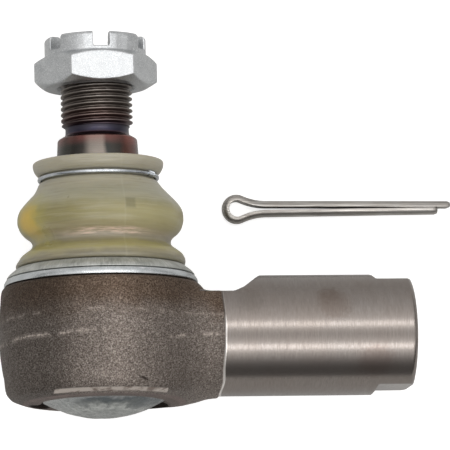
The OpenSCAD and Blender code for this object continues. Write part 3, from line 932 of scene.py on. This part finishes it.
def make_housing():
    """The forging with its machined faces, and the distances that its finish reads."""
    cell, margin = 0.5, 1.3
    p, faces = skin(housing_distance, HOUSING_LOW - margin, HOUSING_HIGH + margin, cell)
    x, y, z = p[:, 0], p[:, 1], p[:, 2]
    turn_r = np.hypot(x, z)
    shank_r = np.hypot(y, z)
    arm_cut = 0.25 - np.abs(relief_tool(x, y))
    relief = np.minimum(arm_cut, np.minimum(x - 24.0, turn_r - BARREL_R - 1.0))
    turned_side = np.minimum(x - forged_edge(z) - 0.3, turn_r - 30)
    inner = np.maximum(25.0 - turn_r, np.where(x > 40, SLEEVE_R + 0.6 - shank_r, -9.0))
    strip = np.minimum(np.minimum(-20.2 - y, y + 21.35), turn_r - 27.2)
    strip = np.minimum(strip, 18.8 - np.abs(x + 0.5))
    strip = np.where(turn_r < 33.5, strip, -5.0)
    rim = np.where(turn_r < 27.6, -21.85 - y, -5.0)

    # the blasted skin swells and dips a little; the machined faces stay true
    outer = np.clip((turn_r - 26.0) / 2, 0, 1) * np.clip((-y + 16.2) / 2, 0, 1)
    outer *= np.clip((y + 20.2) / 1.5, 0, 1) * np.clip((forged_edge(z) - x) / 4, 0, 1)
    outer *= np.clip(1.2 - 4 * np.clip(relief + 0.2, 0, 1), 0, 1)
    normal_x, normal_z = x / np.maximum(turn_r, 1), z / np.maximum(turn_r, 1)
    swell = 0.10 * waves(p, 7.0, 3) + 0.05 * waves(p, 2.6, 5)
    # lines left by the forging dies
    seam_low = y + 2.6 + 0.5 * np.sin(x / 9) + 0.25 * np.sin(x / 3.1 + 1)
    seam_high = y - 5.0 - 0.4 * np.sin(x / 12 + 2)
    front = np.clip(z / 8, 0, 1)
    swell += front * (0.16 * np.exp(-(seam_low / 0.7) ** 2)
                      + 0.10 * np.exp(-(seam_high / 0.6) ** 2))
    dent = np.exp(-(((x - 9.8) / 2.0) ** 2 + ((y + 17.6 + 0.35 * (x - 9.8)) / 0.55) ** 2))
    swell -= 0.5 * dent * front
    swell = np.clip(swell, -0.5, 0.22) * outer
    p = p + np.stack([swell * normal_x, np.zeros(len(p)), swell * normal_z], axis=1)
    p[:, 2] = np.maximum(p[:, 2], HOUSING_LOW[2])

    obj = make_piece("housing_body", p, faces, "housing", "forged_steel", "housing")
    seam = np.where(np.abs(seam_low) < np.abs(seam_high), seam_low, seam_high)
    sides = {"turned": turned_side, "relief": relief, "strip": strip, "rim": rim,
             "inner": inner, "notch": 0.6 - np.abs(notch_tool(x, y, z)),
             "dent": dent * front, "seam": seam}
    for name, values in sides.items():
        add_attribute(obj, name + "_side", values)
    finish(obj, FORGED)


def screw_radius(height, angle, pitch, root, crest, sharpness=0.62):
    """Radius of a right-hand thread with narrow crests, at a height and an angle."""
    turn = height / pitch - angle / (2 * math.pi)
    saw = np.abs((turn % 1.0) * 2 - 1)
    share = np.clip((saw - 0.5) / sharpness + 0.5, 0, 1)
    return root + (crest - root) * share


SOCKET_PITCH, SOCKET_ROOT_R, SOCKET_CREST_R, SOCKET_WALL_R = 1.5, 15.05, 14.19, 15.75
THREAD_COLUMNS = 160


def make_socket_thread():
    """The threaded wall inside the shank, as a sleeve."""
    columns = THREAD_COLUMNS
    angle = np.linspace(0, 2 * math.pi, columns, endpoint=False)
    along = np.arange(BORE_X + 0.4, SHANK_END - 0.15, 0.25)
    a, s = np.meshgrid(angle, along)
    radius = screw_radius(s, a, SOCKET_PITCH, SOCKET_ROOT_R, SOCKET_CREST_R)
    mouth = SOCKET_CREST_R + np.clip(s - (SHANK_END - 1.35), 0, 2)
    radius = np.maximum(radius, mouth)
    inner = np.stack([s, radius * np.cos(a), radius * np.sin(a)], axis=2)
    outer_s = np.array([SHANK_END - 0.15, BORE_X + 0.4])
    a2, s2 = np.meshgrid(angle, outer_s)
    outer = np.stack([s2, SOCKET_WALL_R * np.cos(a2), SOCKET_WALL_R * np.sin(a2)], axis=2)
    points = np.concatenate([inner, outer]).reshape(-1, 3)
    faces = grid_faces(len(along) + 2, columns, True)
    finish(clean(make_piece("socket_thread", points, faces, "housing", "forged_steel")),
           PLAIN_STEEL)


# ---------- rings and closure ----------

def make_ring(name, outline, ease, slot, node, material):
    """A closed outline of (radius, height), turned about the stud and fixed on the housing."""
    points, faces = turned(eased(outline, ease))
    finish(clean(make_piece(name, points, faces, "housing", slot, node)), material)


def make_rings():
    """Grey band round the boot's bead, and the bright retaining ring below it."""
    band = [(27.1, 19.75), (31.2, 19.75), (31.4, 20.0), (30.6, 21.0), (29.5, 21.9),
            (28.5, 22.7), (28.1, 23.0), (27.1, 23.0)]
    make_ring("bead_band", band, 0.3, "grey_band", "boot_bead_band", BAND)
    ring = [(27.1, 19.6), (27.1, 17.0), (32.1, 17.0), (32.4, 17.4), (32.25, 18.3),
            (31.7, 19.2), (31.2, 19.6)]
    make_ring("retaining_ring", ring, 0.35, "zinc_plate", "boot_retaining_ring", RING_ZINC)


def make_closure():
    """Pressed plate: a shallow dome inside the folded rim."""
    dome_edge_r, dome_edge_h, dome_h, thick, inner_edge_r = 20.2, -21.6, -27.2, 2.4, 17.8
    rise = dome_edge_h - dome_h
    dome_r = (dome_edge_r ** 2 + rise ** 2) / (2 * rise)
    half = math.asin(dome_edge_r / dome_r)
    outline = [(24.4, -20.5), (24.4, -18.3), (18.6, -18.3), (18.0, -18.9)]
    inner_r = dome_r - thick
    inner_half = math.asin(inner_edge_r / inner_r)
    for k in range(20):
        a = inner_half * (1 - k / 19)
        outline.append((max(inner_r * math.sin(a), 0.0), dome_h + dome_r - inner_r * math.cos(a)))
    for k in range(31):
        a = half * k / 30
        outline.append((dome_r * math.sin(a), dome_h + dome_r * (1 - math.cos(a))))
    outline.append((20.3, -20.5))
    points, faces = turned(outline)
    # a pressed plate is never quite even
    low = points[:, 1] < -21.7
    points[low, 1] += np.clip(0.10 * waves(points[low], 8.0, 11) + 0.06, 0.0, 0.3)
    finish(clean(make_piece("closure_dome", points, faces, "housing", "zinc_plate",
                            "closure_plate", sharp=35)), DOME_ZINC)


# ---------- boot and wire ring ----------

BOOT_OUTER = [
    (26.8, 17.4), (26.8, 23.1), (28.1, 23.4), (28.4, 24.4), (28.1, 25.8), (27.2, 27.3),
    (25.6, 28.5), (24.1, 29.5), (23.3, 30.8), (23.6, 32.2), (24.6, 33.3), (26.0, 34.3),
    (27.3, 35.8), (28.1, 38.2), (28.0, 40.8), (27.3, 42.7), (26, 44.4), (24.5, 46),
    (22.8, 47.7), (21.2, 49.5), (20.2, 51), (19.6, 51.9), (18.77, 52.3), (18.77, 53.9),
    (20.3, 54.4), (21, 55.2), (21.6, 56.3), (21.9, 57.6), (21.8, 58.4), (21.3, 58.8)]
BOOT_INNER = [
    (15.6, 58.8), (14.7, 57.9), (14.7, 56.6), (15.4, 55.4), (15.4, 53.6), (15, 51.8),
    (16.6, 50), (19.4, 48.2), (22, 46), (24.2, 43.8), (26.2, 40.6), (26.2, 38.6),
    (25, 36.6), (23.6, 35.1), (22.3, 34), (21.8, 32.6), (21.8, 30.4), (22.8, 28.6),
    (24.6, 27.2), (25.8, 25.2), (25.8, 23), (25.5, 22), (25.5, 21.2), (24.8, 20.5),
    (24.8, 17.4)]


BOOT_FREE_FROM, BOOT_FREE_TO = 24, 51


def make_boot():
    """Bellows turned from its outline, with its free wall wandering and leaning a little."""
    outline = eased(BOOT_OUTER + BOOT_INNER, 0.75, 4)
    points, faces = turned(outline, 288)
    radius = np.hypot(points[:, 0], points[:, 2])
    # the moulded wall wanders slightly, but not where the rings hold it
    free = np.clip((points[:, 1] - BOOT_FREE_FROM) / 2, 0, 1)
    free *= np.clip((BOOT_FREE_TO - points[:, 1]) / 3, 0, 1)
    wander = (0.16 * waves(points, 14.0, 21) - 0.35) * free
    share = (radius + wander) / np.maximum(radius, 1)
    points[:, 0] *= share
    points[:, 2] *= share
    # the soft wall leans towards the shank where nothing holds it
    points[:, 0] += 0.4 * free + 0.2 * np.exp(-((points[:, 1] - 31) / 4.5) ** 2)
    obj = make_piece("boot", points, faces, None, "boot_urethane", "dust_boot")
    clean(obj)
    finish(obj, URETHANE)
    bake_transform(obj)


def sweep(path, outwards, section, closed=False):
    """Points and faces of a section of (outwards, upwards) drawn along a path.

    The section may change along the path: it is given as one array per path point."""
    rows = [point + s[:, :1] * out + s[:, 1:] * np.array([0, 0, 1.0])
            for point, out, s in zip(path, outwards, section)]
    points = np.concatenate(rows)
    columns = len(section[0])
    faces = grid_faces(len(path), columns, closed).tolist()
    if not closed:
        last = (len(path) - 1) * columns
        faces.append(list(range(columns))[::-1])
        faces.append([last + k for k in range(columns)])
    return points, faces


def make_wire_ring():
    """Round wire that clamps the boot's lip, with its ends twisted together."""
    steps, sides = 320, 20
    turn = np.linspace(0, 2 * math.pi, steps, endpoint=False)
    around = np.linspace(0, 2 * math.pi, sides, endpoint=False)
    t, a = np.meshgrid(turn, around, indexing="ij")
    thick = WIRE_D / 2
    radius = WIRE_R + thick * np.cos(a)
    height = WIRE_H + thick * np.sin(a)
    points = np.stack([radius * np.cos(t), height, radius * np.sin(t)], axis=2).reshape(-1, 3)
    faces = grid_faces(steps, sides, True).tolist()
    parts = [points]
    total = len(points)
    # the two ends wind round each other for a few turns on one side
    joint_at, joint_half, coil_r, end_r = math.radians(37), 0.085, 0.62, 0.46
    for start in (0.0, math.pi):
        n = 90
        s = np.linspace(-joint_half, joint_half, n)
        twist = s / joint_half * 2.4 * math.pi + start
        fade = np.clip((joint_half - np.abs(s)) / 0.012, 0.3, 1)
        centre_r = WIRE_R + 0.35 + coil_r * np.cos(twist) * fade
        centre_h = WIRE_H + coil_r * np.sin(twist) * fade
        s2, a2 = np.meshgrid(np.arange(n), around, indexing="ij")
        wire = end_r * fade[s2]
        r2 = centre_r[s2] + wire * np.cos(a2)
        h2 = centre_h[s2] + wire * np.sin(a2)
        angle = joint_at + s[s2]
        end = np.stack([r2 * np.cos(angle), h2, r2 * np.sin(angle)], axis=2).reshape(-1, 3)
        parts.append(end)
        faces += (grid_faces(n, sides, False) + total).tolist()
        faces.append(list(range(total, total + sides))[::-1])
        faces.append(list(range(total + (n - 1) * sides, total + n * sides)))
        total += len(end)
    obj = make_piece("wire_ring", np.concatenate(parts), faces, "boot_collar",
                     "zinc_plate", "boot_wire_ring")
    clean(obj)
    finish(obj, WIRE_ZINC)


# ---------- stud ----------

BALL_R, BALL_CUT, NECK_R = 16.0, 13.8, 10.2
PITCH = 2.0
THREAD_LOW, THREAD_R, THREAD_ROOT = 71.2, 12.0, 10.75
TAPER_LOW, TAPER_TOP, TAPER_R = 50.4, 66.2, 14.3


def make_stud():
    """Ball, neck, taper and thread, turned as one column of rings."""
    outline = [(0.0, -BALL_CUT)]
    low_a = -math.asin(BALL_CUT / BALL_R)
    top_a = math.acos(NECK_R / BALL_R)
    for k in range(41):
        a = low_a + (top_a - low_a) * k / 40
        outline.append((BALL_R * math.cos(a), BALL_R * math.sin(a)))
    outline += [(9.55, 13.3), (9.4, 14.6), (9.4, 27.0)]
    flare_x, flare_h, flare_r, steps = 23.4, 27, 14, 12
    for k in range(1, steps + 1):
        a = math.radians(180 - 49 * k / steps)
        outline.append((flare_x + flare_r * math.cos(a), flare_h + flare_r * math.sin(a)))
    small = TAPER_R - (TAPER_TOP - TAPER_LOW) / 16
    outline += [(TAPER_R, 41.0), (TAPER_R, 45.0), (TAPER_R, TAPER_LOW - 0.2),
                (TAPER_R - 0.02, TAPER_LOW), (TAPER_R - 0.4, 56.5)]
    outline += [(small + 0.02, TAPER_TOP - 0.3), (small - 0.3, TAPER_TOP + 0.15),
                (11.9, TAPER_TOP + 0.85), (11.0, TAPER_TOP + 1.3), (10.65, TAPER_TOP + 2.0),
                (10.6, TAPER_TOP + 3.6), (10.7, TAPER_TOP + 4.0)]
    shape = np.array(outline)
    runout = 0.9
    thread_h = np.arange(THREAD_LOW - runout, STUD_TOP + 1e-6, 0.11)
    columns = THREAD_COLUMNS
    angle = np.linspace(0, 2 * math.pi, columns, endpoint=False)
    a, h = np.meshgrid(angle, np.concatenate([shape[:, 1], thread_h]))
    plain = np.concatenate([shape[:, 0], np.zeros(len(thread_h))])[:, None]
    screw = screw_radius(h, -a, PITCH, THREAD_ROOT, THREAD_R)
    start = 10.6 + (h - THREAD_LOW + runout) * 1.4
    top = THREAD_R + 0.02 - np.clip(h - (STUD_TOP - 1.6), 0, 2)
    screw = np.minimum(np.minimum(screw, start), top)
    radius = np.where(plain > 0, plain, screw)
    radius[0] = 0.0
    points = np.stack([radius * np.cos(a), h, radius * np.sin(a)], axis=2).reshape(-1, 3)
    faces = grid_faces(len(radius), columns, False).tolist()
    last = (len(radius) - 1) * columns
    centre = len(points)
    points = np.concatenate([points, [[0, STUD_TOP, 0]]])
    faces += [[last + k, last + (k + 1) % columns, centre] for k in range(columns)]
    obj = make_piece("ball_stud_body", points, faces, "stud", "stud_steel", "ball_stud")
    clean(obj)
    obj.data.set_sharp_from_angle(angle=math.radians(50))
    finish(obj, STUD)


# ---------- castle nut ----------

NUT_HALF = 18.0
HEX_LEN = 10.5
CASTLE_R = 17.0
SLOT_HALF = 2.75
CROWN_FACETS = (-12.7, 24.5, -80, 85, 140, 200)
SLOT_LOW = NUT_TOP - 4.9


def nut_distance(p):
    """Signed distance to the nut: hexagon, slotted castle and threaded bore."""
    x, y, z = p[:, 0], p[:, 1] - NUT_H, p[:, 2]
    r = np.hypot(x, z)
    length = NUT_TOP - NUT_H
    hexagon = np.full(len(p), -99.0)
    for k in range(3):
        a = math.radians(90 + 60 * k)
        hexagon = np.maximum(hexagon, np.abs(x * math.cos(a) + z * math.sin(a)) - NUT_HALF)
    for h in (y, HEX_LEN - y):
        hexagon = kept(hexagon, (r - 17.2) * 0.5 - h * 0.866, 0.35)
    hexagon = kept(hexagon, np.maximum(-y, y - HEX_LEN), 0.2)
    castle = kept(r - CASTLE_R, np.maximum(y - length, 2 - y), 0.3)
    for degrees in CROWN_FACETS:
        a = math.radians(degrees)
        castle = np.maximum(castle, x * math.sin(a) + z * math.cos(a) - CASTLE_R + 0.12)
    castle = kept(castle, (r + y - length - CASTLE_R + 0.8) * 0.7071, 0.3)
    body = joined(hexagon, castle, 0.4)
    for k in range(3):
        a = math.radians(90 + 60 * k)
        slot = kept(np.abs(-x * math.sin(a) + z * math.cos(a)) - SLOT_HALF,
                    SLOT_LOW - NUT_H - y, 0.6)
        body = cut(body, slot, 0.3)
    angle = np.arctan2(z, x)
    turn = y / PITCH + angle / (2 * math.pi)
    saw = np.abs((turn % 1.0) * 2 - 1)
    free = np.clip((y - (STUD_TOP - NUT_H) - 0.3) / 0.8, 0, 1)
    bore = r - 12.06 + free * 1.0 * np.clip((saw - 0.25) / 0.6, 0, 1)
    mouths = r - 13.2 + np.minimum(y, length - y)
    return cut(body, joined(bore * 0.8, mouths * 0.7071, 0.1), 0.2)


def make_nut():
    """Castle nut, skinned finer than the housing."""
    cell, margin = 0.3, 1.0
    p, faces = skin(nut_distance, NUT_LOW - margin, NUT_HIGH + margin, cell)
    obj = make_piece("castle_nut_body", p, faces, "nut", "zinc_plate", "castle_nut")
    finish(obj, ZINC)


# ---------- split pin ----------

def make_pin():
    """One half-round wire: a long leg, the eye, and a shorter leg."""
    wire, eye, gap, join_x = 2.3, 2.75, 0.5, 10.4
    long_leg, short_leg, turn = 74.0, 69.3, math.radians(0.15)
    bend = (join_x ** 2 + gap ** 2 - eye ** 2) / (2 * (eye - gap))
    open_a = math.acos(join_x / (eye + bend))
    slope = math.asin(gap / (short_leg - join_x))
    half = []
    for t in np.linspace(0, 1, 70):
        half.append(((join_x - bend * math.sin(slope)) + (1 - t)
                     * (long_leg - join_x) * math.cos(slope),
                     gap + bend * (1 - math.cos(slope)) - (1 - t)
                     * (long_leg - join_x) * math.sin(slope),
                     math.sin(slope), math.cos(slope)))
    for t in np.linspace(0.02, 1, 40):
        a = math.pi * 1.5 - slope - t * (math.pi / 2 - open_a - slope)
        half.append((join_x + bend * math.cos(a), gap + bend + bend * math.sin(a),
                     -math.cos(a), -math.sin(a)))
    for t in np.linspace(0.02, 1, 60):
        a = open_a + t * (math.pi - open_a)
        half.append((eye * math.cos(a), eye * math.sin(a), math.cos(a), math.sin(a)))
    upper = np.array(half)
    lower = upper[::-1][1:].copy()
    lower[:, 1] *= -1
    lower[:, 3] *= -1
    tip = short_leg * math.cos(slope)
    lower = lower[lower[:, 0] <= tip]
    lower[-1, 0] = tip
    track = np.concatenate([upper, lower])
    centre = np.array([51.3, 47.5, PIN_REST_Z + wire])
    turned_x = np.array([math.cos(turn), math.sin(turn), 0])
    turned_y = np.array([-math.sin(turn), math.cos(turn), 0])
    path = centre + track[:, :1] * turned_x + track[:, 1:2] * turned_y
    out = track[:, 2:3] * turned_x + track[:, 3:4] * turned_y
    arc = np.linspace(-math.pi / 2, math.pi / 2, 17)
    section = np.stack([wire * np.cos(arc), wire * np.sin(arc)], axis=1)
    section = eased(section, 0.22, 3) + np.array([0.02, 0])
    inset = 0.3
    end = section * (1 - inset) + np.array([wire * 0.45 * inset, 0])
    points, faces = sweep(path, out, [end] + [section] * (len(path) - 2) + [end])
    obj = make_piece("split_pin_wire", points, faces, "split_pin", "pin_steel", "cotter_pin")
    clean(obj)
    obj.data.set_sharp_from_angle(angle=math.radians(60))
    finish(obj, PIN)


make_housing()
make_socket_thread()
make_rings()
make_closure()
make_boot()
make_wire_ring()
make_stud()
make_nut()
make_pin()

INNER_FINISHES = {"upper_bearing_shell": PLASTIC, "lower_bearing_shell": PLASTIC,
                  "spring_seat": PLAIN_STEEL, "preload_spring": PLAIN_STEEL,
                  "closure_seal": RUBBER}
for node, material in INNER_FINISHES.items():
    finish(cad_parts[node], material)


# ---------- floor, light and camera ----------

def make_floor():
    """Pale matt board that lights up slightly, so that shadows stay faint."""
    material, b, s = new_material("Pale board")
    speck = b.noise(b.place()[0], 0.02, 2.0)
    b.feed(s["Base Color"], b.mix(speck, paint(196, 196, 195), paint(200, 200, 199)))
    s["Roughness"].default_value = 0.9
    s["Specular IOR Level"].default_value = 0.1
    s["Emission Color"].default_value = (1, 1, 1, 1)
    seen = b.add("ShaderNodeLightPath").outputs["Is Camera Ray"]
    b.feed(s["Emission Strength"], b.times(seen, 0.72))
    size, middle_x, middle_y, z = 1200.0, 30, 20, BENCH_Z - 0.05
    rim, count = [], 48
    for radius in (size, size * 0.5, size * 0.2):
        for k in range(count):
            a = 2 * math.pi * k / count
            rim.append((radius * math.cos(a) + middle_x, radius * math.sin(a) + middle_y, z))
    faces = [(r * count + k, r * count + (k + 1) % count,
              (r + 1) * count + (k + 1) % count, (r + 1) * count + k)
             for r in (0, 1) for k in range(count)]
    faces.append(tuple(2 * count + k for k in range(count)))
    mesh = bpy.data.meshes.new("floor_board")
    mesh.from_pydata([(a * MM, b * MM, c * MM) for a, b, c in rim], [], faces)
    mesh.update()
    obj = bpy.data.objects.new("floor_board", mesh)
    bpy.context.scene.collection.objects.link(obj)
    obj.data.materials.append(material)


def make_world():
    """White studio tent: two bright strips along the shank, dim between and low on one side."""
    world = bpy.data.worlds.new("Studio tent")
    bpy.context.scene.world = world
    world.use_nodes = True
    world.node_tree.nodes.clear()
    b = Board(world.node_tree)
    raw = b.add("ShaderNodeTexCoord").outputs["Generated"]
    parts = b.add("ShaderNodeSeparateXYZ", {0: raw}).outputs
    tilt = b.math("ARCTAN2", parts[1], parts[2])
    degrees = b.times(tilt, 180 / math.pi)

    def grey(level):
        return (level, level * 0.985, level * 0.97, 1.0)

    levels = [(-180, 0.45), (-105, 0.30), (-88, 0.12), (-71, 0.12), (-60, 0.22),
              (-51, 0.45), (-43, 0.80), (-34, 1.05), (-22, 1.15), (-12, 0.80), (-5, 0.66),
              (2, 0.78), (9, 1.10), (19, 1.10), (27, 0.95), (38, 0.80), (56, 0.62),
              (85, 0.48), (180, 0.45)]
    colour = b.ramp(b.span(degrees, -180, 180),
                    *[((a + 180) / 360, grey(level)) for a, level in levels])
    aside = b.span(b.absolute(parts[0]), 0.35, 0.95, 1.0, 0.5, smooth=True)
    shade = b.add("ShaderNodeCombineColor", {0: aside, 1: aside, 2: aside}).outputs[0]
    colour = b.mix(1.0, colour, shade, "MULTIPLY")
    background = b.add("ShaderNodeBackground", {0: colour, 1: 1.4})
    output = b.add("ShaderNodeOutputWorld")
    b.tree.links.new(background.outputs[0], output.inputs[0])


def make_light(name, place, aim, size, power):
    """A rectangular lamp, in metres and watts, that faces a point."""
    data = bpy.data.lights.new(name, "AREA")
    data.shape = "RECTANGLE"
    data.size, data.size_y = size
    data.energy = power
    obj = bpy.data.objects.new(name, data)
    bpy.context.scene.collection.objects.link(obj)
    obj.location = place
    obj.rotation_euler = (Vector(aim) - Vector(place)).to_track_quat("-Z", "Y").to_euler()


def make_camera():
    """Long lens above the bench, a little to the dome's side and away from the shank."""
    data = bpy.data.cameras.new("camera")
    data.sensor_width = 36
    data.lens = 480
    data.clip_start, data.clip_end = 0.1, 20
    camera = bpy.data.objects.new("camera", data)
    bpy.context.scene.collection.objects.link(camera)
    turn = Euler((math.radians(-8.38), math.radians(8.55), math.radians(0.33)), "XYZ")
    place = Vector((-256.3, -252.06, 1965.37)) * MM
    camera.matrix_world = (Matrix.Translation(place)
                           @ turn.to_matrix().transposed().to_4x4())
    bpy.context.scene.camera = camera


bpy.context.scene.view_settings.view_transform = "Standard"
make_floor()
make_world()
make_light("strip_nut_side", (0.05, 0.28, 1.1), (0.05, 0.0, 0), (1.2, 0.16), 1.35)
make_light("strip_cap_side", (0.05, -0.60, 1.1), (0.05, 0.0, 0), (1.2, 0.18), 1.9)
make_camera()

bpy.context.view_layer.update()
